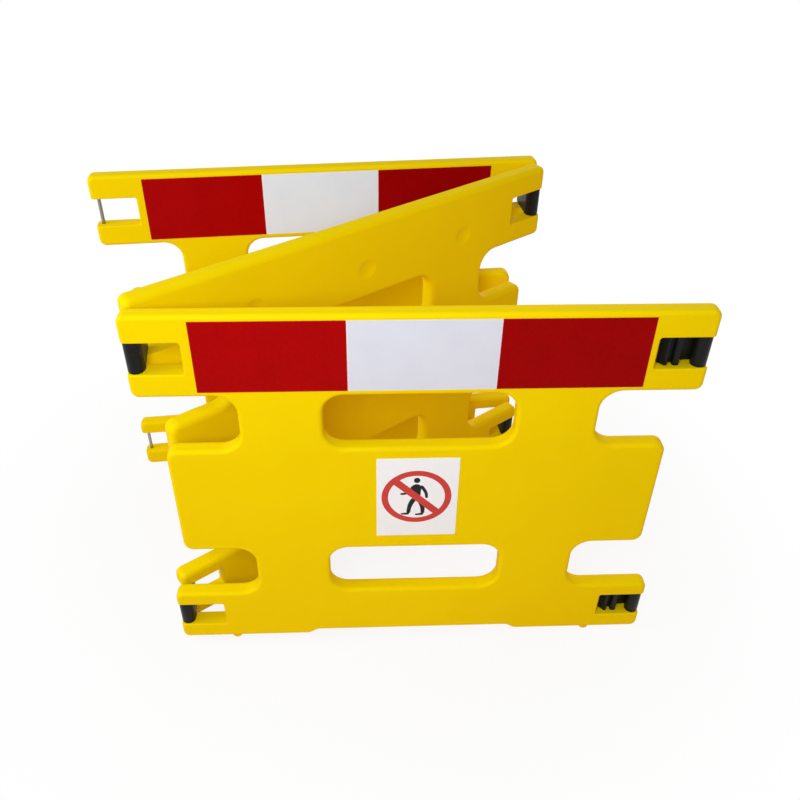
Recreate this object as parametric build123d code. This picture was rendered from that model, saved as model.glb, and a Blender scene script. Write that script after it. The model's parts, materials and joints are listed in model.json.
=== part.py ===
"""Three-panel folding barrier: hollow moulded panels joined by clip-on links on steel pins.

Every panel is drawn in its own frame: x along its length from its left end, y through its
thickness from the front face to the back, z up from its bottom edge. The assembly stands on its
feet at z = 0 in its half-folded pose, with +X along the front panel and +Y away from the viewer.
"""
import os
from math import cos, radians, sin

from build123d import *

# Panel moulding
PANEL_LENGTH = 1000.0
PANEL_HEIGHT = 816.0
PANEL_THICKNESS = 36.0
WALL = 3.0
FRONT_EDGE_RADIUS = 8.0
BACK_EDGE_RADIUS = 12.0

# Rails, notches in the two ends and the wider body between them
UPPER_RAIL_HEIGHT = 164.0
LOWER_RAIL_HEIGHT = 139.0
UPPER_NOTCH_HEIGHT = 123.0
LOWER_NOTCH_HEIGHT = 132.0
NOTCH_DEPTH = 177.0
NOTCH_RADIUS = 40.0
BODY_INSET = 38.0
BODY_RADIUS = 20.0
RAIL_END_RADIUS = 14.0

# Long slots through the panel, one in the middle of each pair of notches
SLOT_LENGTH = 348.0
UPPER_SLOT_HEIGHT = 121.0
LOWER_SLOT_HEIGHT = 126.0
SLOT_RADIUS = 40.0

# Pockets in the rail ends, which hold the links
POCKET_HEIGHT = 64.0
POCKET_DEPTH = 97.0
POCKET_RADIUS = 5.0
POCKET_EDGE_RADIUS = 3.0
TOP_PRONG_HEIGHT = 52.0
LOWEST_PRONG_HEIGHT = 41.0

# Shallow recess under the lower rail, and the feet beside it
RECESS_LENGTH = 414.0
RECESS_HEIGHT = 12.0
RECESS_RAMP = 18.0
RECESS_RADIUS = 16.0
FOOT_INSET = 114.0
FOOT_RADIUS = 11.0
FOOT_HEIGHT = 15.0
FOOT_EDGE_RADIUS = 4.0

# Shallow round dimples in the back wall
DIMPLE_PITCH = 258.0
DIMPLE_RADIUS = 21.0
DIMPLE_DEPTH = 4.0
DIMPLE_EDGE_RADIUS = 10.0
UPPER_DIMPLE_DROP = 99.0
BODY_DIMPLE_RISE = 119.0
LOWER_DIMPLE_RISE = 72.0

# Steel pins across the pockets
PIN_RADIUS = 4.0
PIN_INSET = 14.0
PIN_EMBED = 20.0
PIN_CHAMFER = 0.8
PIN_SEAT_CLEARANCE = 0.05
PIN_BOSS_WALL = 5.0

# Links: a closed barrel, a thin web and a block with an open clip
LINK_PITCH = 52.0
BARREL_RADIUS = 14.5
WEB_THICKNESS = 5.0
WEB_OFFSET = 13.0
CLIP_INNER_SIDE = 15.0
CLIP_OUTER_SIDE = 21.0
CLIP_LIP_HEIGHT = 7.0
CLIP_CHAMFER = 11.0
CLIP_CORNER_RADIUS = 1.5
THROAT_WIDTH = 6.6
MOUTH_WIDTH = 12.0
MOUTH_DEPTH = 3.5
LINK_RUNNING_CLEARANCE = 0.05
LINK_GAP_BELOW = 0.3
LINK_GAP_ABOVE = 1.2

# Reflective films on the upper rail
FILM_HEIGHT = 143.0
FILM_THICKNESS = 0.3
FILM_TOP_MARGIN = 10.0
FILM_LEFT_MARGIN = 114.0
FILM_RIGHT_MARGIN = 109.0
FILM_SIDES = ("left_red", "centre_white", "right_red")

# Sign plate on the front panel's body
SIGN_WIDTH = 156.0
SIGN_HEIGHT = 201.0
SIGN_THICKNESS = 1.0
SIGN_CORNER_RADIUS = 2.0
SIGN_RISE = 34.0

# Angles by which the four hinge lines stand open at rest, in degrees from the flat folded stack
FRONT_LINK_ANGLE = 8.0
MIDDLE_PANEL_ANGLE = 27.8
BACK_LINK_ANGLE = 30.3
REAR_PANEL_ANGLE = 0.0

# Heights of the bands, from the panel's bottom edge
BODY_BOTTOM = LOWER_RAIL_HEIGHT + LOWER_NOTCH_HEIGHT
UPPER_RAIL_BOTTOM = PANEL_HEIGHT - UPPER_RAIL_HEIGHT
BODY_TOP = UPPER_RAIL_BOTTOM - UPPER_NOTCH_HEIGHT
UPPER_POCKET_BOTTOM = PANEL_HEIGHT - TOP_PRONG_HEIGHT - POCKET_HEIGHT
POCKETS = {"upper": UPPER_POCKET_BOTTOM, "lower": LOWEST_PRONG_HEIGHT}
MID_LENGTH = PANEL_LENGTH / 2
MID_DEPTH = PANEL_THICKNESS / 2
PIN_PLACES = {"left": PIN_INSET, "right": PANEL_LENGTH - PIN_INSET}
PIN_PITCH = PANEL_LENGTH - 2 * PIN_INSET

LINK_BORE_RADIUS = PIN_RADIUS + LINK_RUNNING_CLEARANCE
LINK_HEIGHT = POCKET_HEIGHT - LINK_GAP_BELOW - LINK_GAP_ABOVE


def outline_corners():
    """Corners of the panel's outline as (x, z, radius), anticlockwise from the recess."""
    recess_end = MID_LENGTH + RECESS_LENGTH / 2
    notch = PANEL_LENGTH - NOTCH_DEPTH
    body = PANEL_LENGTH - BODY_INSET
    right = [
        (recess_end, RECESS_HEIGHT, RECESS_RADIUS),
        (recess_end + RECESS_RAMP, 0, RECESS_RADIUS),
        (PANEL_LENGTH, 0, RAIL_END_RADIUS),
        (PANEL_LENGTH, LOWER_RAIL_HEIGHT, RAIL_END_RADIUS),
        (notch, LOWER_RAIL_HEIGHT, NOTCH_RADIUS),
        (notch, BODY_BOTTOM, NOTCH_RADIUS),
        (body, BODY_BOTTOM, BODY_RADIUS),
        (body, BODY_TOP, BODY_RADIUS),
        (notch, BODY_TOP, NOTCH_RADIUS),
        (notch, UPPER_RAIL_BOTTOM, NOTCH_RADIUS),
        (PANEL_LENGTH, UPPER_RAIL_BOTTOM, RAIL_END_RADIUS),
        (PANEL_LENGTH, PANEL_HEIGHT, RAIL_END_RADIUS),
    ]
    left = [(PANEL_LENGTH - x, z, radius) for x, z, radius in reversed(right)]
    return right + left


def panel_face():
    """The panel's outline with its two slots, as a flat face."""
    corners = outline_corners()
    points = [(x, z) for x, z, _ in corners]
    radii = [radius for _, _, radius in corners]
    face = make_face(FilletPolyline(*points, radius=radii, close=True))
    upper_middle = (BODY_TOP + UPPER_RAIL_BOTTOM) / 2
    lower_middle = (LOWER_RAIL_HEIGHT + BODY_BOTTOM) / 2
    face -= Pos(MID_LENGTH, upper_middle) * RectangleRounded(SLOT_LENGTH, UPPER_SLOT_HEIGHT, SLOT_RADIUS)
    face -= Pos(MID_LENGTH, lower_middle) * RectangleRounded(SLOT_LENGTH, LOWER_SLOT_HEIGHT, SLOT_RADIUS)
    return face


def rounded_slab(face, inset):
    """A face drawn in x and z, extruded to an inset from the front and the back, with rounded rims."""
    slab = extrude(Plane.XZ.offset(-inset) * face, amount=2 * inset - PANEL_THICKNESS)
    slab = fillet(slab.faces().sort_by(Axis.Y)[0].edges(), FRONT_EDGE_RADIUS - inset)
    return fillet(slab.faces().sort_by(Axis.Y)[-1].edges(), BACK_EDGE_RADIUS - inset)


def pocket_cutter(x, bottom, extra):
    """A block that clears the pocket round a pin line at one end, grown by extra all round."""
    length = 2 * (POCKET_DEPTH + extra)
    end = 0 if x < MID_LENGTH else PANEL_LENGTH
    mouth = RectangleRounded(length, POCKET_HEIGHT + 2 * extra, POCKET_RADIUS + extra)
    return extrude(Plane.XZ * Pos(end, bottom + POCKET_HEIGHT / 2) * mouth, amount=-PANEL_THICKNESS)


def pocket_cutters(extra):
    """The blocks of all four pockets."""
    return [pocket_cutter(x, bottom, extra) for x in PIN_PLACES.values() for bottom in POCKETS.values()]


def dimple_places():
    """Centres of the dimples as (x, z)."""
    heights = (PANEL_HEIGHT - UPPER_DIMPLE_DROP, BODY_BOTTOM + BODY_DIMPLE_RISE, LOWER_DIMPLE_RISE)
    return [(MID_LENGTH + step * DIMPLE_PITCH, z) for z in heights for step in (-1, 0, 1)]


def dimple_ball(x, z, extra):
    """The ball whose cap is a dimple in the back face, grown by extra all round."""
    radius = (DIMPLE_RADIUS**2 + DIMPLE_DEPTH**2) / (2 * DIMPLE_DEPTH)
    return Pos(x, PANEL_THICKNESS - DIMPLE_DEPTH + radius, z) * Sphere(radius + extra)


def upright(radius, x, bottom, top):
    """An upright cylinder in the middle of the panel's thickness."""
    return Pos(x, MID_DEPTH, (bottom + top) / 2) * Cylinder(radius, top - bottom)


def panel_cavity(face):
    """The air space inside the moulding, with the dimples and the pin bosses left standing."""
    inner_face = offset(face, amount=-WALL)
    cavity = rounded_slab(inner_face, WALL)
    bosses = [upright(PIN_RADIUS + PIN_BOSS_WALL, x, 0, PANEL_HEIGHT) for x in PIN_PLACES.values()]
    balls = [dimple_ball(x, z, WALL) for x, z in dimple_places()]
    return cavity - [*bosses, *balls, *pocket_cutters(WALL)]


def pin_hole(x, prong_bottom, pocket_bottom):
    """A hole up through the lower prong and into the upper one, where the pin is driven in."""
    top = pocket_bottom + POCKET_HEIGHT + PIN_EMBED
    return upright(PIN_RADIUS + PIN_SEAT_CLEARANCE, x, prong_bottom, top)


def foot(x):
    """A round foot moulded under the lower rail."""
    stud = upright(FOOT_RADIUS, x, -FOOT_HEIGHT, WALL)
    return fillet(stud.faces().sort_by(Axis.Z)[0].edges(), FOOT_EDGE_RADIUS)


def panel():
    """One hollow panel moulding."""
    face = panel_face()
    blank = rounded_slab(face, 0)
    dimples = [dimple_ball(x, z, 0) for x, z in dimple_places()]
    body = blank - dimples
    back_face = body.faces().filter_by(Axis.Y).sort_by(Axis.Y)[-1]
    mouths = [edge for edge in back_face.edges().filter_by(GeomType.CIRCLE) if edge.is_closed]
    body = fillet(mouths, DIMPLE_EDGE_RADIUS)
    cutters = pocket_cutters(0)
    open_ends = body - cutters
    body = fillet(new_edges(body, *cutters, combined=open_ends), POCKET_EDGE_RADIUS)
    prong_bottoms = {"upper": UPPER_RAIL_BOTTOM, "lower": 0}
    holes = [pin_hole(x, prong_bottoms[level], POCKETS[level])
             for x in PIN_PLACES.values() for level in POCKETS]
    body -= [panel_cavity(face), *holes]
    return body + [foot(FOOT_INSET), foot(PANEL_LENGTH - FOOT_INSET)]


def pin(x, pocket_bottom):
    """A steel pin across one pocket, held in the prongs above and below."""
    bottom = pocket_bottom - PIN_EMBED
    rod = upright(PIN_RADIUS, x, bottom, pocket_bottom + POCKET_HEIGHT + PIN_EMBED)
    return chamfer(rod.edges().filter_by(GeomType.CIRCLE), PIN_CHAMFER)


def film(step):
    """One reflective film on the upper rail, counted from the left as 0, 1 and 2."""
    length = (PANEL_LENGTH - FILM_LEFT_MARGIN - FILM_RIGHT_MARGIN) / len(FILM_SIDES)
    centre = FILM_LEFT_MARGIN + (step + 1 / 2) * length
    middle = PANEL_HEIGHT - FILM_TOP_MARGIN - FILM_HEIGHT / 2
    return Pos(centre, -FILM_THICKNESS / 2, middle) * Box(length, FILM_THICKNESS, FILM_HEIGHT)


def sign_plate():
    """The plain sign plate on the front face, under the upper slot."""
    middle = BODY_BOTTOM + SIGN_RISE + SIGN_HEIGHT / 2
    outline = Pos(MID_LENGTH, middle) * RectangleRounded(SIGN_WIDTH, SIGN_HEIGHT, SIGN_CORNER_RADIUS)
    return extrude(Plane.XZ * outline, amount=SIGN_THICKNESS)


def clip_block():
    """Plan of the clip's block about its pin line, with a slanted outer corner."""
    back = -WEB_OFFSET - WEB_THICKNESS / 2
    corners = [
        (-CLIP_INNER_SIDE, back),
        (CLIP_OUTER_SIDE, back),
        (CLIP_OUTER_SIDE, CLIP_LIP_HEIGHT - CLIP_CHAMFER),
        (CLIP_OUTER_SIDE - CLIP_CHAMFER, CLIP_LIP_HEIGHT),
        (-CLIP_INNER_SIDE, CLIP_LIP_HEIGHT),
    ]
    return make_face(FilletPolyline(*corners, radius=CLIP_CORNER_RADIUS, close=True))


def clip_mouth():
    """Plan of the clip's throat and flared mouth about its pin line, run out past the lips."""
    throat_top = CLIP_LIP_HEIGHT - MOUTH_DEPTH
    right = [
        (THROAT_WIDTH / 2, 0),
        (THROAT_WIDTH / 2, throat_top),
        (MOUTH_WIDTH / 2, CLIP_LIP_HEIGHT),
        (MOUTH_WIDTH / 2, CLIP_LIP_HEIGHT + MOUTH_DEPTH),
    ]
    left = [(-x, y) for x, y in reversed(right)]
    return make_face(Polyline(*right, *left, close=True))


def link():
    """A link with its barrel on the z axis, its clip along +x, its web on -y and its mouth on +y."""
    web = Pos(LINK_PITCH / 2, -WEB_OFFSET) * Rectangle(LINK_PITCH, WEB_THICKNESS)
    clip_place = Pos(LINK_PITCH, 0)
    plan = Circle(BARREL_RADIUS) + web + clip_place * clip_block()
    bore = Circle(LINK_BORE_RADIUS)
    plan -= [bore, clip_place * bore, clip_place * clip_mouth()]
    return extrude(plan, amount=LINK_HEIGHT)


def along(start, angle, length):
    """The plan point at a distance from another one, in a direction given in degrees."""
    return (start[0] + length * cos(radians(angle)), start[1] + length * sin(radians(angle)))


def panel_on_pin(pin_point, angle):
    """Place of a panel turned by angle, with its right pin line through a plan point."""
    return Pos(*pin_point) * Rot(0, 0, angle) * Pos(-PIN_PLACES["right"], -MID_DEPTH, FOOT_HEIGHT)


def link_on_pin(pin_point, angle, level):
    """Place of a link turned by angle, with its barrel on a pin line and its height in a pocket."""
    height = FOOT_HEIGHT + POCKETS[level] + LINK_GAP_BELOW
    return Pos(pin_point[0], pin_point[1], height) * Rot(0, 0, angle)


def add_panel(nodes, name, place, moulding):
    """One panel with its four pins and its three films."""
    nodes[f"{name}_panel"] = place * moulding
    for side, x in PIN_PLACES.items():
        for level, bottom in POCKETS.items():
            nodes[f"{name}_{side}_{level}_pin"] = place * pin(x, bottom)
    for step, side in enumerate(FILM_SIDES):
        nodes[f"{name}_{side}_film"] = place * film(step)


def assembly():
    """All sub-parts by name, in the pose in which the barrier stands."""
    front_left_pin = (PIN_PLACES["left"], MID_DEPTH)
    front_right_pin = (PIN_PLACES["right"], MID_DEPTH)
    front_link_angle = 90 + FRONT_LINK_ANGLE
    middle_near_pin = along(front_left_pin, front_link_angle, LINK_PITCH)
    middle_angle = FRONT_LINK_ANGLE + MIDDLE_PANEL_ANGLE
    middle_far_pin = along(middle_near_pin, middle_angle, PIN_PITCH)
    back_link_angle = middle_angle + 90 - BACK_LINK_ANGLE
    rear_right_pin = along(middle_far_pin, back_link_angle, LINK_PITCH)
    rear_angle = back_link_angle - 90 - REAR_PANEL_ANGLE

    nodes = {}
    moulding = panel()
    add_panel(nodes, "front", panel_on_pin(front_right_pin, 0), moulding)
    add_panel(nodes, "middle", panel_on_pin(middle_near_pin, middle_angle + 180), moulding)
    add_panel(nodes, "rear", panel_on_pin(rear_right_pin, rear_angle), moulding)
    nodes["sign_plate"] = panel_on_pin(front_right_pin, 0) * sign_plate()
    link_body = link()
    # The back links hang upside down, which brings their webs to the panels' side of the pins
    turned_link = Pos(0, 0, LINK_HEIGHT) * Rot(180, 0, 0) * link_body
    for level in POCKETS:
        nodes[f"front_{level}_link"] = link_on_pin(front_left_pin, front_link_angle, level) * link_body
        nodes[f"back_{level}_link"] = link_on_pin(middle_far_pin, back_link_angle, level) * turned_link
        nodes[f"free_{level}_link"] = link_on_pin(front_right_pin, 180, level) * link_body

    boxes = [shape.bounding_box() for shape in nodes.values()]
    middle_x = (min(box.min.X for box in boxes) + max(box.max.X for box in boxes)) / 2
    middle_y = (min(box.min.Y for box in boxes) + max(box.max.Y for box in boxes)) / 2
    centre = Pos(-middle_x, -middle_y, 0)
    hinge_lines = {
        "front_left": front_left_pin,
        "front_right": front_right_pin,
        "middle_near": middle_near_pin,
        "middle_far": middle_far_pin,
        "rear_right": rear_right_pin,
    }
    for name, point in hinge_lines.items():
        shifted = centre * Pos(*point)
        print(f"hinge line {name}: x {shifted.position.X:.4f} y {shifted.position.Y:.4f}")
    return {name: centre * shape for name, shape in nodes.items()}


def main():
    os.makedirs("parts", exist_ok=True)
    for name, shape in assembly().items():
        export_step(shape, f"parts/{name}.step")


main()
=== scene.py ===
"""Looks of the three-panel folding barrier: panels, films, sign, links, pins, light and camera."""
import json
from math import acos, asin, atan2, pi

import bmesh
import bpy
import numpy as np
from mathutils import Matrix, Vector
from mathutils.geometry import tessellate_polygon


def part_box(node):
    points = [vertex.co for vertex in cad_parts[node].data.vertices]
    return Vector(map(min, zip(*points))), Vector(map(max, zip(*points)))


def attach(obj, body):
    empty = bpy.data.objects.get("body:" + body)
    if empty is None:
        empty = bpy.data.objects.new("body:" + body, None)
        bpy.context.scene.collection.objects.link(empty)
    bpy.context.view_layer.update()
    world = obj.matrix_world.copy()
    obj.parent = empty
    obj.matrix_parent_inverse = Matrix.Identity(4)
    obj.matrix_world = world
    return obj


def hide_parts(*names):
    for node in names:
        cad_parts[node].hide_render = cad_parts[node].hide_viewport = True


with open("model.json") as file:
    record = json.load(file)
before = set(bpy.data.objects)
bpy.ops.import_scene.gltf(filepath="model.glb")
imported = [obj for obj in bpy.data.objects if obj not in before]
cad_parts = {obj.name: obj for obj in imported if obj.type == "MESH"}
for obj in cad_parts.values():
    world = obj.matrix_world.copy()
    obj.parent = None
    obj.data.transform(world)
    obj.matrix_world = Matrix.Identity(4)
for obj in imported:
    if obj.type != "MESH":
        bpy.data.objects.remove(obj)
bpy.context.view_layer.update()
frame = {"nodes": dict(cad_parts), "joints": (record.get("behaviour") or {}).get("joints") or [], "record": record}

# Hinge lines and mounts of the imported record
JOINT_AT = {joint["name"]: np.array(joint["pos_m"]) for joint in frame["joints"]}
MOUNT_AT = {mount["name"]: np.array(mount["pos_m"]) for mount in frame["record"]["mounts"]}
PANEL_PINS = {
    # pin line at the left end and at the right end of a panel, seen from the side with the films
    "front": (JOINT_AT["front_link_swing"], JOINT_AT["free_upper_link_swing"]),
    "middle": (JOINT_AT["back_link_swing"], JOINT_AT["middle_panel_swing"]),
    "rear": (MOUNT_AT["upper_bare_pin"], JOINT_AT["rear_panel_swing"]),
}
LINK_PINS = {
    # pin in the barrel, pin in the clip, and 1 for a link the right way up or -1 for upside down
    "front": (JOINT_AT["front_link_swing"], JOINT_AT["middle_panel_swing"], 1),
    "back": (JOINT_AT["back_link_swing"], JOINT_AT["rear_panel_swing"], -1),
    "free": (JOINT_AT["free_upper_link_swing"], MOUNT_AT["upper_coupling_clip"], 1),
}
LINK_BODIES = {
    "front_upper": "front_links", "front_lower": "front_links",
    "back_upper": "back_links", "back_lower": "back_links",
    "free_upper": "free_upper", "free_lower": "free_lower",
}

# Sizes of the panel, in metres
LENGTH, HEIGHT, DEPTH = 1.0, 0.816, 0.036
PIN_INSET, FOOT_HEIGHT = 0.014, 0.015
RAIL_BOTTOM, BODY_TOP, BODY_BOTTOM, RAIL_TOP = 0.652, 0.529, 0.271, 0.139
NOTCH_DEPTH, NOTCH_RADIUS = 0.177, 0.040
BODY_INSET, BODY_RADIUS, END_RADIUS = 0.038, 0.020, 0.014
SLOT_LENGTH, SLOT_RADIUS = 0.348, 0.040
UPPER_SLOT_HEIGHT, LOWER_SLOT_HEIGHT = 0.121, 0.126
UPPER_POCKET, LOWER_POCKET, LIP_ROOM = (0.700, 0.764), (0.041, 0.105), 0.007
RECESS_LENGTH, RECESS_HEIGHT, RECESS_RAMP, RECESS_RADIUS = 0.414, 0.012, 0.018, 0.016
FILM_LEFT, FILM_LENGTH, FILM_BOTTOM, FILM_TOP = 0.114, 0.259, 0.663, 0.806

# Marks that the mould leaves on the panel, in metres
MOULD_LINES, MOULD_LINE_HALF_WIDTH = (0.320, 0.690), 0.004
MOULD_LINE_FOOT, MOULD_LINE_HEAD = (0.27, 0.30), (0.50, 0.53)
SEAM_HALF_WIDTH, SEAM_LIFT, SEAM_TAPER, SEAM_INSET = 0.0004, 0.00014, 0.006, 0.04

# Sizes of a link, in metres
LINK_PITCH, BARREL_RADIUS, BORE_RADIUS = 0.052, 0.0145, 0.00405
CLIP_INNER, CLIP_OUTER, CLIP_LIP, CLIP_CHAMFER = 0.015, 0.021, 0.007, 0.011
WEB_INNER, WEB_OUTER = -0.0105, -0.0155
HALF_THROAT, HALF_MOUTH, MOUTH_DEPTH = 0.0033, 0.006, 0.0035
LINK_RIM, LINK_SOFTNESS = 0.0007, 0.0008

# Print on the sign, in metres about the middle of its ring
RING_OFFSET = (-0.0014, 0.0028)
RING_RADIUS, RING_HALF_WIDTH, RING_LIFT = 0.061, 0.0063, 0.00014
SLASH_HALF_WIDTH, SLASH_LIFT = 0.0078, 0.00012
SLASH_RUN = (-1.0, -0.999, -0.5, 0.0, 0.5, 0.999, 1.0)
LIMB_LIFT, LIMB_LIFT_STEP = 0.00005, 0.000006
MILLIMETRE = 0.001
FIGURE = (
    # start, middle, end, half width at the start and at the end, in millimetres
    ((0.0, 36.4), (0.2, 43.0), (0.4, 49.6), 6.0, 6.0),
    ((0.0, 33.5), (-0.6, 14.0), (0.0, -8.0), 9.6, 7.6),
    ((-7.0, 29.0), (-15.0, 13.0), (-31.5, 9.0), 3.7, 2.6),
    ((7.0, 29.0), (17.0, 13.0), (19.0, -3.0), 3.7, 2.6),
    ((-3.4, -4.0), (-12.0, -21.0), (-15.0, -43.0), 5.6, 3.5),
    ((-13.5, -43.2), (-21.0, -44.0), (-29.5, -44.2), 3.0, 2.1),
    ((3.6, -4.0), (11.0, -22.0), (12.5, -44.0), 5.8, 3.5),
    ((14.0, -44.6), (6.0, -45.8), (-2.0, -46.4), 3.0, 2.1),
)

# Fineness of the surfaces: points round or along each kind of line
STRIP_SIDES, STRIP_POWER = 24, 0.3
RING_POINTS, LIMB_POINTS = 160, 28
ARC_POINTS, OUTLINE_POINTS, BORE_POINTS = 90, 560, 64
CORNER_POINTS, RIM_POINTS = 25, 6
WELD_DISTANCE, SLIVER_LENGTH, SMOOTH_ANGLE = 1e-7, 1e-8, 0.7

# Tones, dark then light
YELLOW_TONES = (0.890, 0.648, 0.0003, 1), (0.920, 0.678, 0.0004, 1)
YELLOW_STREAK, STREAK_SHARE = (0.920, 0.693, 0.0006, 1), 0.35
BLACK_TONES = (0.006, 0.006, 0.006, 1), (0.013, 0.012, 0.012, 1)
STEEL_TONES = (0.24, 0.24, 0.25, 1), (0.38, 0.38, 0.39, 1)
SIGN_WHITE_TONES = (0.91, 0.95, 0.985, 1), (0.93, 0.97, 0.995, 1)
SIGN_RED_TONES = (0.58, 0.048, 0.040, 1), (0.64, 0.058, 0.048, 1)
SIGN_BLACK_TONES = (0.010, 0.010, 0.012, 1), (0.016, 0.016, 0.018, 1)
FILMS = {
    # dark tone, light tone, and pale tone of the ribs and of the painted highlight along the edges of each film,
    # left to right
    "left_red": ((0.37, 0.0003, 0.0008, 1), (0.41, 0.0005, 0.0012, 1), (0.54, 0.030, 0.030, 1)),
    "centre_white": ((0.68, 0.71, 0.81, 1), (0.72, 0.75, 0.85, 1), (0.84, 0.84, 0.87, 1)),
    # the right red film is painted darker than the left one, as shade where the light falls off to the right
    "right_red": ((0.30, 0.0003, 0.0006, 1), (0.34, 0.0004, 0.0010, 1), (0.48, 0.028, 0.028, 1)),
}
FILMS_PAINTED_PALER = {
    # a film painted paler than its fellows on the other panels, as painted light that makes up for the shade that
    # the middle panel casts on it
    ("rear", "centre_white"): (
        (0.78, 0.855, 0.97, 1), (0.82, 0.895, 0.99, 1), (0.88, 0.88, 0.90, 1)),
}
FILM_CELLS_PER_METRE, FILM_RIB, FILM_RIB_SHARE = 250.0, (0.03, 0.10), 0.10
# width and strength of the highlight painted along each film's edges
FILM_HIGHLIGHT_RIM, FILM_HIGHLIGHT_RIM_SHARE = (0.0005, 0.0016), 0.55

# Middle of the range of smooth noise, and the sockets of the Mix node that serve colours
NOISE_MIDDLE = (0.3, 0.7)
MIX_FACTOR, MIX_FIRST, MIX_SECOND, MIX_RESULT = 0, 6, 7, 2

# Studio: light that bounces is tinted, what is seen directly or mirrored is white
WHITE = (1, 1, 1, 1)
WORLD_BOUNCED, WORLD_STRENGTH = (1, 0.90, 0.87, 1), 0.46
FLOOR_BOUNCED, FLOOR_SEEN, FLOOR_REACH = (0.86, 0.62, 0.54, 1), (0.85, 0.85, 0.85, 1), 30.0
FLOOR_GLOW_NEAR, FLOOR_GLOW_FAR, FLOOR_GLOW_LEAST = 0.5, 1.1, 0.86
COOL_LIGHT, WARM_LIGHT = (0.86, 0.98, 1.0), (1.0, 0.70, 0.59)
LAMPS = (
    # name, place and side in metres, power in watts, tint
    ("left_lamp", (-2.0, -0.5, 1.6), 1.0, 20.0, COOL_LIGHT),
    ("front_lamp", (-0.28, -1.6, 1.65), 0.5, 17.0, COOL_LIGHT),
    ("back_lamp", (1.5, 2.6, 1.0), 1.6, 34.0, WARM_LIGHT),
)

# The photo's camera: its place and axes, and its focal length in pixels of a picture 800 wide
CAMERA_PLACE = (-0.00269, -1.53000, 1.5442)
CAMERA_RIGHT = (0.99901393, -0.04209017, 0.01412719)
CAMERA_UP = (0.01407740, 0.60207573, 0.79831487)
CAMERA_BACK = (-0.04210685, -0.79732881, 0.60207457)
FOCAL_PIXELS, PICTURE_PIXELS, SENSOR_WIDTH = 840.82, 800, 36.0


def panel_axes(panel):
    """A panel's own frame: its origin, x along its length and y into its depth; z is up."""
    left, right = PANEL_PINS[panel]
    along = np.append((right - left)[:2], 0.0)
    along /= np.linalg.norm(along)
    depth = np.array([-along[1], along[0], 0.0])
    corner = np.append(left[:2], FOOT_HEIGHT) - PIN_INSET * along - DEPTH / 2 * depth
    return corner, along, depth


class Nodes:
    """The node tree of a material or of the world, with short calls to add and wire nodes."""

    def __init__(self, owner):
        owner.use_nodes = True
        self.tree = owner.node_tree

    def add(self, kind, values=None, **settings):
        """A node of a kind with its settings, and its inputs set from values or sockets."""
        node = self.tree.nodes.new(kind)
        for key, value in settings.items():
            setattr(node, key, value)
        for key, value in (values or {}).items():
            self.put(node.inputs[key], value)
        return node

    def put(self, socket, value):
        """Wires a socket to another one, or sets its plain value."""
        if isinstance(value, bpy.types.NodeSocket):
            self.tree.links.new(value, socket)
        else:
            socket.default_value = value

    def math(self, operation, first, second=0.0):
        """One sum on one or two values."""
        return self.add("ShaderNodeMath", {0: first, 1: second}, operation=operation).outputs[0]

    def object_place(self):
        """Object coordinates."""
        return self.add("ShaderNodeTexCoord").outputs["Object"]

    def ramp(self, factor, low, high, start=0.0, end=1.0):
        """A value from start to end while factor runs from low to high, held outside."""
        values = {"Value": factor, "From Min": low, "From Max": high,
                  "To Min": start, "To Max": end}
        return self.add("ShaderNodeMapRange", values, clamp=True).outputs["Result"]

    def mix(self, factor, first, second):
        """A colour between two colours."""
        values = {MIX_FACTOR: factor, MIX_FIRST: first, MIX_SECOND: second}
        return self.add("ShaderNodeMix", values, data_type="RGBA").outputs[MIX_RESULT]

    def seen_directly(self):
        """1 for rays from the camera, mirrors and clear things, 0 for light between surfaces."""
        path = self.add("ShaderNodeLightPath").outputs
        seen = self.math("MAXIMUM", path["Is Camera Ray"], path["Is Glossy Ray"])
        return self.math("MAXIMUM", seen, path["Is Transmission Ray"])


class Finish(Nodes):
    """One surface material that depends on object coordinates alone."""

    def __init__(self, name):
        self.material = bpy.data.materials.new(name)
        super().__init__(self.material)
        self.surface = self.tree.nodes["Principled BSDF"]

    def set(self, **inputs):
        """Sets inputs of the surface shader by name, with underscores for spaces."""
        for key, value in inputs.items():
            self.put(self.surface.inputs[key.replace("_", " ")], value)

    def own_axes(self, panel):
        """Object coordinates turned and moved into a panel's own frame."""
        corner, along, _ = panel_axes(panel)
        angle = atan2(along[1], along[0])
        moved = Matrix.Rotation(-angle, 3, "Z") @ Vector(corner)
        values = {"Vector": self.object_place(), "Rotation": (0, 0, -angle), "Location": -moved}
        return self.add("ShaderNodeMapping", values).outputs[0]

    def stretched(self, vector, scale, turn=(0, 0, 0)):
        """A vector scaled along its axes and turned."""
        values = {"Vector": vector, "Scale": scale, "Rotation": turn}
        return self.add("ShaderNodeMapping", values).outputs[0]

    def parts(self, vector):
        """The x, y and z of a vector."""
        return self.add("ShaderNodeSeparateXYZ", {0: vector}).outputs

    def noise(self, vector, scale, detail, rough=0.5):
        """Smooth noise from 0 to 1 on a vector."""
        values = {"Vector": vector, "Scale": scale, "Detail": detail, "Roughness": rough}
        return self.add("ShaderNodeTexNoise", values).outputs["Fac"]

    def patches(self, vector, scale, detail, start=0.0, end=1.0):
        """Soft patches: a value from start to end over the middle of the noise's range."""
        return self.ramp(self.noise(vector, scale, detail), *NOISE_MIDDLE, start, end)

    def bump(self, height, distance, strength, normal=None):
        """A surface normal raised by height times distance, in metres."""
        values = {"Height": height, "Distance": distance, "Strength": strength}
        if normal is not None:
            values["Normal"] = normal
        return self.add("ShaderNodeBump", values).outputs["Normal"]

    def ridge(self, value, centre, half_width):
        """1 where a value is at a centre, falling to 0 at half_width on both sides."""
        away = self.math("ABSOLUTE", self.math("SUBTRACT", value, centre))
        return self.ramp(away, 0.0, half_width, 1.0, 0.0)


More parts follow.
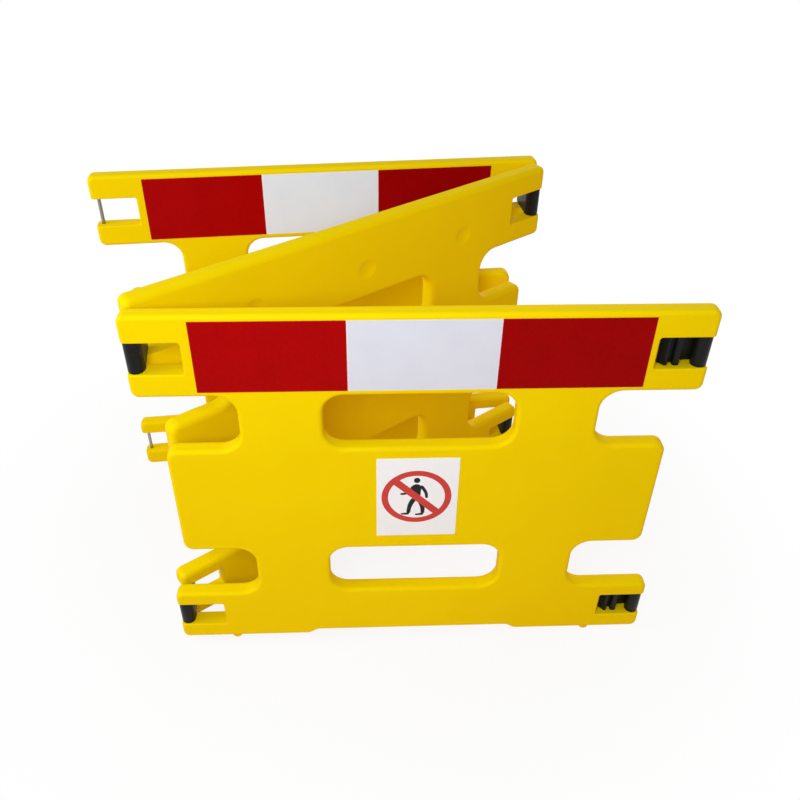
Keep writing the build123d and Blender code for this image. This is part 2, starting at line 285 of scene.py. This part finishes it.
def yellow_plastic(panel):
    """Blow-moulded polyethylene: soft gloss, grain, uneven walls, streaks, faint mould lines."""
    s = Finish(f"{panel}_yellow_plastic")
    place = s.own_axes(panel)
    x, _, z = s.parts(place)
    flow = s.noise(s.stretched(place, (9.0, 9.0, 1.3)), scale=2.2, detail=4.0, rough=0.6)
    streaks = s.math("MULTIPLY", s.ramp(flow, low=0.35, high=0.75), STREAK_SHARE)
    colour = s.mix(s.patches(place, scale=3.1, detail=3.0), *YELLOW_TONES)
    colour = s.mix(streaks, colour, YELLOW_STREAK)
    left, right = (s.ridge(x, line, MOULD_LINE_HALF_WIDTH) for line in MOULD_LINES)
    foot, head = s.ramp(z, *MOULD_LINE_FOOT), s.ramp(z, *MOULD_LINE_HEAD, 1.0, 0.0)
    lines = s.math("MULTIPLY", s.math("MAXIMUM", left, right), s.math("MULTIPLY", foot, head))
    waves = s.noise(place, scale=21.0, detail=1.0)
    grain = s.noise(place, scale=900.0, detail=2.0)
    normal = s.bump(waves, distance=0.0009, strength=0.3)
    normal = s.bump(lines, distance=0.0002, strength=0.5, normal=normal)
    normal = s.bump(grain, distance=0.00003, strength=0.35, normal=normal)
    rough = s.patches(place, scale=55.0, detail=3.0, start=0.42, end=0.52)
    s.set(Base_Color=colour, Roughness=rough, Specular_IOR_Level=0.02, Normal=normal)
    return s.material


def reflective_film(panel, name, dark, light, rib_and_highlight_tone):
    """Prismatic film: diamond cells with pale ribs under a clear face, and a pale rim painted along its edges as a
    highlight.
    """
    s = Finish(f"{panel}_{name}_film")
    place = s.own_axes(panel)
    x, _, z = s.parts(place)
    cells = s.stretched(place, (FILM_CELLS_PER_METRE, 0.0, FILM_CELLS_PER_METRE), (0, pi / 4, 0))
    values = {"Vector": cells, "Scale": 1.0, "Randomness": 0.0}
    to_rib = s.add("ShaderNodeTexVoronoi", values, feature="DISTANCE_TO_EDGE").outputs["Distance"]
    ribs = s.ramp(to_rib, *FILM_RIB, 1.0, 0.0)
    colour = s.mix(s.patches(place, scale=14.0, detail=3.0), dark, light)
    colour = s.mix(s.math("MULTIPLY", ribs, FILM_RIB_SHARE), colour, rib_and_highlight_tone)
    step = s.math("FRACT", s.math("DIVIDE", s.math("SUBTRACT", x, FILM_LEFT), FILM_LENGTH))
    nearer = s.math("MINIMUM", step, s.math("SUBTRACT", 1.0, step))
    across = s.math("MULTIPLY", nearer, FILM_LENGTH)
    up = s.math("MINIMUM", s.math("SUBTRACT", z, FILM_BOTTOM), s.math("SUBTRACT", FILM_TOP, z))
    # a pale rim painted along the film's edges as a highlight
    painted_highlight_rim = s.ramp(s.math("MINIMUM", across, up), *FILM_HIGHLIGHT_RIM, FILM_HIGHLIGHT_RIM_SHARE, 0.0)
    rough = s.patches(place, scale=90.0, detail=2.0, start=0.24, end=0.32)
    s.set(Base_Color=s.mix(painted_highlight_rim, colour, rib_and_highlight_tone), Roughness=rough)
    s.set(Specular_IOR_Level=0.03, Normal=s.bump(ribs, distance=0.00003, strength=0.3))
    return s.material


def black_plastic():
    """Black moulded plastic: satin, with a fine grain and faint grey rub marks."""
    s = Finish("black_plastic")
    place = s.object_place()
    rub = s.noise(s.stretched(place, (30.0, 30.0, 150.0)), scale=1.0, detail=4.0, rough=0.65)
    grain = s.noise(place, scale=1400.0, detail=2.0)
    s.set(Base_Color=s.mix(s.ramp(rub, low=0.55, high=0.80), *BLACK_TONES))
    s.set(Roughness=s.patches(place, scale=160.0, detail=3.0, start=0.34, end=0.48))
    s.set(Specular_IOR_Level=0.15, Normal=s.bump(grain, distance=0.00004, strength=0.4))
    return s.material


def pin_steel():
    """Drawn steel rod: bright metal with fine lines along it."""
    s = Finish("pin_steel")
    drawn = s.stretched(s.object_place(), (2600.0, 2600.0, 14.0))
    lines = s.noise(drawn, scale=1.0, detail=2.0)
    s.set(Base_Color=s.mix(lines, *STEEL_TONES), Metallic=1.0)
    s.set(Roughness=s.ramp(lines, *NOISE_MIDDLE, start=0.20, end=0.32))
    s.set(Normal=s.bump(lines, distance=0.00002, strength=0.3))
    return s.material


def enamel(name, dark, light):
    """Sign enamel: an even satin coat with slight changes of tone and a faint orange peel."""
    s = Finish(name)
    place = s.object_place()
    peel = s.noise(place, scale=520.0, detail=1.0)
    s.set(Base_Color=s.mix(s.patches(place, scale=25.0, detail=3.0), dark, light))
    s.set(Roughness=s.patches(place, scale=70.0, detail=2.0, start=0.30, end=0.38))
    s.set(Specular_IOR_Level=0.15, Normal=s.bump(peel, distance=0.00003, strength=0.3))
    return s.material


def stacked(loops, joined):
    """Corners and faces of a stack of closed loops (loops, points, 3), joined by quads."""
    rows, count = loops.shape[:2]
    index = np.arange(rows * count).reshape(rows, count)
    if joined:
        index = np.vstack([index, index[:1]])
    low, high = index[:-1], index[1:]
    quads = np.stack([low, np.roll(low, -1, 1), np.roll(high, -1, 1), high], -1).reshape(-1, 4)
    return loops.reshape(-1, 3), quads.tolist()


def piece(name, parts, body, material):
    """One object from closed surfaces, each given as corners and faces, that rides on a body."""
    corners, faces, start = [], [], 0
    for points, polygons in parts:
        corners.append(points)
        faces += [[start + index for index in polygon] for polygon in polygons]
        start += len(points)
    mesh = bpy.data.meshes.new(name)
    mesh.from_pydata(np.vstack(corners).tolist(), [], faces)
    work = bmesh.new()
    work.from_mesh(mesh)
    bmesh.ops.remove_doubles(work, verts=work.verts, dist=WELD_DISTANCE)
    bmesh.ops.dissolve_degenerate(work, edges=work.edges, dist=SLIVER_LENGTH)
    bmesh.ops.recalc_face_normals(work, faces=work.faces)
    work.to_mesh(mesh)
    work.free()
    mesh.materials.append(material)
    mesh.shade_smooth()
    mesh.set_sharp_from_angle(angle=SMOOTH_ANGLE)
    shape = bpy.data.objects.new(name, mesh)
    bpy.context.scene.collection.objects.link(shape)
    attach(shape, body)
    return shape


def path_steps(path, joined):
    """The step of a path at each of its points, from the point before to the point after."""
    if joined:
        return np.roll(path, -1, 0) - np.roll(path, 1, 0)
    return np.gradient(path, axis=0)


def strip(path, out, half_width, lift, joined=False):
    """A thin strip along a path.

    At each point of the path a flat rounded box, a superellipse in the turn angle, reaches
    half_width to both sides and lift to both sides of the surface that the path lies on; out
    points away from that surface.
    """
    tangent = path_steps(path, joined)
    tangent /= np.linalg.norm(tangent, axis=1, keepdims=True)
    side = np.cross(tangent, out)
    turn = np.linspace(0, 2 * pi, STRIP_SIDES, endpoint=False) + pi / STRIP_SIDES
    across = np.sign(np.cos(turn)) * np.abs(np.cos(turn)) ** STRIP_POWER
    above = np.sign(np.sin(turn)) * np.abs(np.sin(turn)) ** STRIP_POWER
    loops = (path[:, None]
             + side[:, None] * (half_width[:, None] * across)[..., None]
             + np.broadcast_to(out, path.shape)[:, None] * (lift[:, None] * above)[..., None])
    return stacked(loops, joined)


def sign_print():
    """The print on the sign plate: a red ring and slash over a black walking figure.

    Each part is a thin raised strip. The ring follows a circle, the slash a straight line and each
    limb a parabola through three points; the limbs' ends are half circles.
    """
    low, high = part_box("sign_plate")
    middle = np.array([(low.x + high.x) / 2 + RING_OFFSET[0], low.y,
                       (low.z + high.z) / 2 + RING_OFFSET[1]])
    out = np.array([0.0, -1.0, 0.0])

    def on_plate(u, v):
        return middle + np.stack([u, np.zeros_like(u), v], -1)

    turn = np.linspace(0, 2 * pi, RING_POINTS, endpoint=False)
    circle = on_plate(RING_RADIUS * np.cos(turn), RING_RADIUS * np.sin(turn))
    even = np.ones_like(turn)
    ring = strip(circle, out, RING_HALF_WIDTH * even, RING_LIFT * even, True)
    run = np.array(SLASH_RUN) * RING_RADIUS * 0.5 ** 0.5
    closed_ends = np.where(np.abs(SLASH_RUN) < 1, 1.0, 0.0)
    slash = strip(on_plate(run, -run), out,
                  SLASH_HALF_WIDTH * closed_ends, SLASH_LIFT * closed_ends)
    figure = []
    for step, (start, mid, end, wide, narrow) in enumerate(FIGURE):
        start, mid, end = (np.array(point) * MILLIMETRE for point in (start, mid, end))
        s = (1 - np.cos(np.linspace(0, pi, LIMB_POINTS))) / 2
        bend = 2 * mid - (start + end) / 2
        line = (np.outer((1 - s) ** 2, start) + np.outer(2 * s * (1 - s), bend)
                + np.outer(s ** 2, end))
        length = np.append(0.0, np.cumsum(np.linalg.norm(np.diff(line, axis=0), axis=1)))
        width = MILLIMETRE * (wide + (narrow - wide) * s)
        to_end = np.minimum(length, length[-1] - length)
        rounding = np.sqrt(1 - np.clip(1 - to_end / width, 0, 1) ** 2)
        lift = (LIMB_LIFT + LIMB_LIFT_STEP * step) * np.where(to_end > 0, 1.0, 0.0)
        figure.append(strip(on_plate(line[:, 0], line[:, 1]), out, width * rounding, lift))
    piece("sign_figure", figure, "front", PRINT_BLACK)
    piece("sign_ring_and_slash", [ring, slash], "front", PRINT_RED)


def arc(centre, radius, start, end, count=ARC_POINTS):
    """Points on a circle from one angle to another."""
    turn = np.linspace(start, end, count)
    return np.stack([centre + radius * np.cos(turn), radius * np.sin(turn)], 1)


def link_outline():
    """The link's plan: barrel, web, clip block with a slanted corner, mouth, throat and bore.

    The arcs and lines are spaced evenly along their length, and a bell-shaped average over a short
    length softens the corners. The bore starts larger by what that average takes off its radius.
    """
    bore = BORE_RADIUS * np.exp(LINK_SOFTNESS ** 2 / (2 * BORE_RADIUS ** 2))
    throat, neck = acos(HALF_THROAT / bore), CLIP_LIP - MOUTH_DEPTH
    near, far = LINK_PITCH - CLIP_INNER, LINK_PITCH + CLIP_OUTER
    points = np.vstack([
        arc(0.0, BARREL_RADIUS, asin(WEB_INNER / BARREL_RADIUS), 1.5 * pi),
        [[0.0, WEB_OUTER], [far, WEB_OUTER]],
        [[far, CLIP_LIP - CLIP_CHAMFER], [far - CLIP_CHAMFER, CLIP_LIP]],
        [[LINK_PITCH + HALF_MOUTH, CLIP_LIP], [LINK_PITCH + HALF_THROAT, neck]],
        arc(LINK_PITCH, bore, throat, -pi - throat),
        [[LINK_PITCH - HALF_THROAT, neck], [LINK_PITCH - HALF_MOUTH, CLIP_LIP]],
        [[near, CLIP_LIP], [near, WEB_INNER]],
    ])
    points = np.vstack([points, points[:1]])
    run = np.append(0.0, np.cumsum(np.linalg.norm(np.diff(points, axis=0), axis=1)))
    even = np.linspace(0, run[-1], OUTLINE_POINTS, endpoint=False)
    loop = np.interp(even, run, points[:, 0]) + 1j * np.interp(even, run, points[:, 1])
    waves = np.fft.fftfreq(OUTLINE_POINTS, run[-1] / OUTLINE_POINTS)
    loop = np.fft.ifft(np.fft.fft(loop) * np.exp(-2 * (pi * LINK_SOFTNESS * waves) ** 2))
    return np.stack([loop.real, loop.imag], 1)


def walled(outline, heights, insets):
    """Loops of an outline at several heights, each moved inwards by its own inset."""
    line = path_steps(outline, True)
    outward = np.stack([line[:, 1], -line[:, 0]], 1) / np.linalg.norm(line, axis=1, keepdims=True)
    plan = outline[None] - insets[:, None, None] * outward
    level = np.broadcast_to(heights[:, None, None], plan.shape[:2] + (1,))
    return np.concatenate([plan, level], 2)


def link(name, body, barrel, clip, way_up):
    """A link with rounded rims.

    Its outline and the barrel's bore are carried up its height and drawn in by a quarter circle at
    both rims; the caps between them are cut into triangles.
    """
    low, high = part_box(f"{name}_link")
    bend = np.linspace(0, pi / 2, RIM_POINTS)
    insets = LINK_RIM * (1 - np.sin(bend))
    rise = LINK_RIM * (1 - np.cos(bend))
    heights = np.concatenate([low.z + rise, high.z - rise[::-1]])
    insets = np.concatenate([insets, insets[::-1]])
    bore = arc(0.0, BORE_RADIUS, 0.0, -2 * pi, BORE_POINTS + 1)[:-1]
    loops = [walled(outline, heights, insets) for outline in (link_outline(), bore)]
    outer, outer_faces = stacked(loops[0], False)
    inner, inner_faces = stacked(loops[1], False)
    faces = outer_faces + [[len(outer) + index for index in face] for face in inner_faces]
    outer_count, inner_count = (loop.shape[1] for loop in loops)
    for row in (0, len(heights) - 1):
        rims = [[Vector(point) for point in loop[row]] for loop in loops]
        at = np.concatenate([np.arange(outer_count) + row * outer_count,
                             np.arange(inner_count) + row * inner_count + len(outer)])
        faces += [[int(at[index]) for index in corner] for corner in tessellate_polygon(rims)]
    along = (clip - barrel)[:2] / np.linalg.norm((clip - barrel)[:2])
    points = np.vstack([outer, inner])
    turned = points[:, :1] * along + way_up * points[:, 1:2] * np.array([-along[1], along[0]])
    points = np.concatenate([barrel[:2] + turned, points[:, 2:]], 1)
    moulding = piece(f"{name}_link_moulding", [(points, faces)], body, BLACK)
    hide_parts(f"{name}_link")


def rounded_path(corners, closed):
    """A line through corners (x, z, radius), each an arc that touches both of its sides."""
    corners = np.array(corners)
    points, radius = corners[:, :2], corners[:, 2]
    before, after = points - np.roll(points, 1, 0), np.roll(points, -1, 0) - points
    if not closed:
        before, after, radius = before[1:-1], after[1:-1], radius[1:-1]
    inner = points if closed else points[1:-1]
    before /= np.linalg.norm(before, axis=1, keepdims=True)
    after /= np.linalg.norm(after, axis=1, keepdims=True)
    sine = before[:, 0] * after[:, 1] - before[:, 1] * after[:, 0]
    turn = np.arctan2(sine, (before * after).sum(1))
    start = inner - before * (radius * np.tan(np.abs(turn) / 2))[:, None]
    inwards = np.sign(turn)[:, None] * np.stack([-before[:, 1], before[:, 0]], 1)
    angle = np.abs(turn)[:, None] * np.linspace(0, 1, CORNER_POINTS)
    along = before[:, None] * np.sin(angle)[..., None]
    aside = inwards[:, None] * (1 - np.cos(angle))[..., None]
    path = (start[:, None] + radius[:, None, None] * (along + aside)).reshape(-1, 2)
    if closed:
        return path
    first, last = points[:1], points[-1:]
    return np.vstack([first, first + SEAM_TAPER * before[:1],
                      path, last - SEAM_TAPER * after[-1:], last])


def seam_runs():
    """Runs of the mould's parting line in a panel's own frame, as corners and whether it closes."""
    notch, body, middle = LENGTH - NOTCH_DEPTH, LENGTH - BODY_INSET, LENGTH / 2
    right_end = [
        (LENGTH, UPPER_POCKET[0] - LIP_ROOM, 0), (LENGTH, RAIL_BOTTOM, END_RADIUS),
        (notch, RAIL_BOTTOM, NOTCH_RADIUS), (notch, BODY_TOP, NOTCH_RADIUS),
        (body, BODY_TOP, BODY_RADIUS), (body, BODY_BOTTOM, BODY_RADIUS),
        (notch, BODY_BOTTOM, NOTCH_RADIUS), (notch, RAIL_TOP, NOTCH_RADIUS),
        (LENGTH, RAIL_TOP, END_RADIUS), (LENGTH, LOWER_POCKET[1] + LIP_ROOM, 0),
    ]
    left_end = [(LENGTH - x, z, radius) for x, z, radius in right_end]
    lip = UPPER_POCKET[1] + LIP_ROOM
    top = [(LENGTH, lip, 0), (LENGTH, HEIGHT, END_RADIUS), (0.0, HEIGHT, END_RADIUS), (0.0, lip, 0)]
    recess = middle - RECESS_LENGTH / 2
    ramp = recess - RECESS_RAMP
    bottom = [
        (SEAM_INSET, 0.0, 0), (ramp, 0.0, RECESS_RADIUS),
        (recess, RECESS_HEIGHT, RECESS_RADIUS), (LENGTH - recess, RECESS_HEIGHT, RECESS_RADIUS),
        (LENGTH - ramp, 0.0, RECESS_RADIUS), (LENGTH - SEAM_INSET, 0.0, 0),
    ]
    runs = [(run, False) for run in (right_end, left_end, top, bottom)]
    left, right = middle - SLOT_LENGTH / 2, middle + SLOT_LENGTH / 2
    for low, high, tall in ((BODY_TOP, RAIL_BOTTOM, UPPER_SLOT_HEIGHT),
                            (RAIL_TOP, BODY_BOTTOM, LOWER_SLOT_HEIGHT)):
        base, crown = (low + high - tall) / 2, (low + high + tall) / 2
        slot = ((left, base), (right, base), (right, crown), (left, crown))
        runs.append(([(x, z, SLOT_RADIUS) for x, z in slot], True))
    return runs


def mould_seams(panel):
    """The low bead that the mould's parting line leaves: a strip round the rims at mid depth."""
    corner, along, depth = panel_axes(panel)
    up = np.array([0.0, 0.0, 1.0])
    beads = []
    for corners, closed in seam_runs():
        plan = rounded_path(corners, closed)
        path = corner + DEPTH / 2 * depth + plan[:, :1] * along + plan[:, 1:] * up
        out = np.cross(path_steps(path, closed), depth)
        out /= np.linalg.norm(out, axis=1, keepdims=True)
        size = np.ones(len(path))
        if not closed:
            size[[0, -1]] = 0.0
        beads.append(strip(path, out, SEAM_HALF_WIDTH * size, SEAM_LIFT * size, closed))
    piece(f"{panel}_mould_seams", beads, panel, YELLOW[panel])


def dress(node, material):
    """Gives a solid its finish."""
    mesh = frame["nodes"][node].data
    mesh.materials.clear()
    mesh.materials.append(material)


def lamp(name, place, side, power, tint):
    """A square area lamp turned to the middle of the object, and not seen itself."""
    data = bpy.data.lights.new(name, "AREA")
    data.shape, data.size, data.energy = "SQUARE", side, power
    data.color = tint
    shape = bpy.data.objects.new(name, data)
    shape.visible_camera = False
    shape.location = place
    aim = Vector((0, 0, HEIGHT / 2)) - Vector(place)
    shape.rotation_euler = aim.to_track_quat("-Z", "Y").to_euler()
    bpy.context.scene.collection.objects.link(shape)


def surroundings():
    """A world that is white where it is seen, and that gives a weaker, warmer light."""
    world = bpy.data.worlds.new("studio")
    bpy.context.scene.world = world
    nodes = Nodes(world)
    seen = nodes.seen_directly()
    background = nodes.tree.nodes["Background"].inputs
    nodes.put(background["Strength"], nodes.math("MAXIMUM", seen, WORLD_STRENGTH))
    nodes.put(background["Color"], nodes.mix(seen, WORLD_BOUNCED, WHITE))


def floor():
    """A white floor that takes the shadow near the object and fades into the white further off."""
    reach = FLOOR_REACH
    corners = [(-reach, -reach, 0), (reach, -reach, 0), (reach, reach, 0), (-reach, reach, 0)]
    mesh = bpy.data.meshes.new("floor")
    mesh.from_pydata(corners, [], [(0, 1, 2, 3)])
    shape = bpy.data.objects.new("floor", mesh)
    bpy.context.scene.collection.objects.link(shape)
    paint = bpy.data.materials.new("floor_paint")
    nodes = Nodes(paint)
    nodes.tree.nodes.remove(nodes.tree.nodes["Principled BSDF"])
    seen = nodes.seen_directly()
    colour = nodes.mix(seen, FLOOR_BOUNCED, FLOOR_SEEN)
    matt = nodes.add("ShaderNodeBsdfDiffuse", {"Color": colour}).outputs[0]
    bright = nodes.add("ShaderNodeEmission", {"Color": WHITE}).outputs[0]
    away = nodes.add("ShaderNodeVectorMath", {0: nodes.object_place()}, operation="LENGTH")
    glow = nodes.ramp(away.outputs["Value"], FLOOR_GLOW_NEAR, FLOOR_GLOW_FAR, FLOOR_GLOW_LEAST)
    share = nodes.math("MULTIPLY", seen, glow)
    blend = nodes.add("ShaderNodeMixShader", {0: share, 1: matt, 2: bright}).outputs[0]
    nodes.put(nodes.tree.nodes["Material Output"].inputs["Surface"], blend)
    mesh.materials.append(paint)


def camera():
    """The photo's camera, from its place, axes and focal length."""
    data = bpy.data.cameras.new("camera")
    data.sensor_width, data.lens = SENSOR_WIDTH, SENSOR_WIDTH * FOCAL_PIXELS / PICTURE_PIXELS
    view = bpy.data.objects.new("camera", data)
    turn = Matrix((CAMERA_RIGHT, CAMERA_UP, CAMERA_BACK)).transposed().to_4x4()
    view.matrix_world = Matrix.Translation(CAMERA_PLACE) @ turn
    bpy.context.scene.collection.objects.link(view)
    bpy.context.scene.camera = view


YELLOW = {panel: yellow_plastic(panel) for panel in PANEL_PINS}
BLACK, STEEL = black_plastic(), pin_steel()
SIGN_WHITE = enamel("sign_white", *SIGN_WHITE_TONES)
PRINT_RED = enamel("sign_red", *SIGN_RED_TONES)
PRINT_BLACK = enamel("sign_black", *SIGN_BLACK_TONES)
for panel in PANEL_PINS:
    dress(f"{panel}_panel", YELLOW[panel])
    for film, tones in FILMS.items():
        # some films are painted paler, as painted light where the middle panel shades them
        tones = FILMS_PAINTED_PALER.get((panel, film), tones)
        dress(f"{panel}_{film}_film", reflective_film(panel, film, *tones))
    mould_seams(panel)
for node in frame["nodes"]:
    if node.endswith("_pin"):
        dress(node, STEEL)
    elif node.endswith("_link"):
        dress(node, BLACK)
dress("sign_plate", SIGN_WHITE)
sign_print()
for name, body in LINK_BODIES.items():
    link(name, body, *LINK_PINS[name.split("_")[0]])

bpy.context.scene.view_settings.view_transform = "Standard"
surroundings()
floor()
for settings in LAMPS:
    lamp(*settings)
camera()
